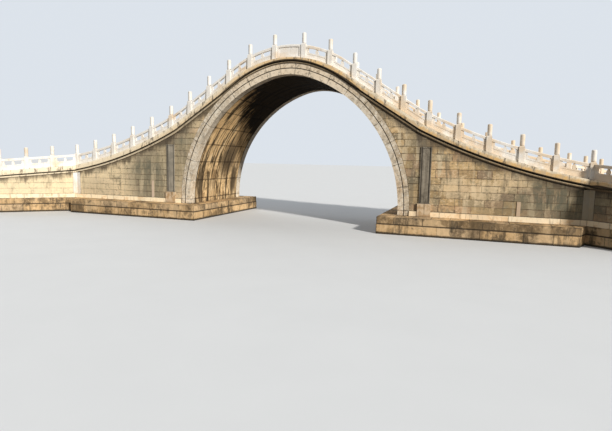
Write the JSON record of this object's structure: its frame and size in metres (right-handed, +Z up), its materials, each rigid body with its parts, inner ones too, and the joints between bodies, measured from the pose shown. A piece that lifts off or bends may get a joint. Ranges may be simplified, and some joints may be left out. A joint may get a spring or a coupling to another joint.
{
  "type": "moon bridge",
  "caption": "Single-arch marble moon bridge with stepped deck, pierced balustrades, couplet pilasters and flared wing walls on stone footings.",
  "frame": {"origin": "under the crown of the arch, midway between the wall faces, at the foot of the masonry", "axes": "+X along the bridge, +Y across it away from the viewed face, +Z up"},
  "size_m": [34.0828, 12.1882, 9.5131],
  "materials": {
    "white_marble": "weathered white marble, warm and slightly pink, with grey rain streaks",
    "cornice_stone": "ochre and cream dressed stone with dark weathering under each lip",
    "ring_stone": "pale grey limestone ring stones with ochre stains",
    "ashlar": "tan coursed ashlar with grey-green stains",
    "footing_stone": "brown dressed footing stone, dark at the wet foot",
    "plinth_stone": "pale cream plinth stone",
    "vault_stone": "golden vault stone with dark brown streaks",
    "grey_stone": "grey dressed stone",
    "step_stone": "worn step stone",
    "fill": "rubble and lime core, not in view"
  },
  "bodies": {
    "root": {"approach_fill_east": "fill", "approach_fill_west": "fill", "approach_paving_east": "step_stone", "approach_paving_west": "step_stone", "arch_ring_back": "ring_stone", "arch_ring_front": "ring_stone", "core_fill_east": "fill", "core_fill_west": "fill", "corner_piers": "white_marble", "couplet_pilasters": "grey_stone", "crown_landing": "step_stone", "crown_panels": "white_marble", "edge_stones_back": "cornice_stone", "edge_stones_front": "cornice_stone", "fillet_back": "cornice_stone", "fillet_front": "cornice_stone", "footing_east": "footing_stone", "footing_west": "footing_stone", "gauge_strips": "white_marble", "hood_band_back": "ring_stone", "hood_band_front": "ring_stone", "panels_back": "white_marble", "panels_front": "white_marble", "plinth_east": "plinth_stone", "plinth_west": "plinth_stone", "posts_back": "white_marble", "posts_front": "white_marble", "spandrel_wall_back_east": "ashlar", "spandrel_wall_back_west": "ashlar", "spandrel_wall_front_east": "ashlar", "spandrel_wall_front_west": "ashlar", "steps_east": "step_stone", "steps_west": "step_stone", "vault_strip_1": "vault_stone", "vault_strip_2": "vault_stone", "vault_strip_3": "vault_stone", "vault_strip_4": "vault_stone", "vault_strip_5": "vault_stone", "vault_strip_6": "vault_stone", "vault_strip_7": "vault_stone", "wing_edge_stones": "cornice_stone", "wing_fillet": "cornice_stone", "wing_panels": "white_marble", "wing_posts": "white_marble", "wing_walls_east": "ashlar", "wing_walls_west": "ashlar"}
  },
  "joints": []
}
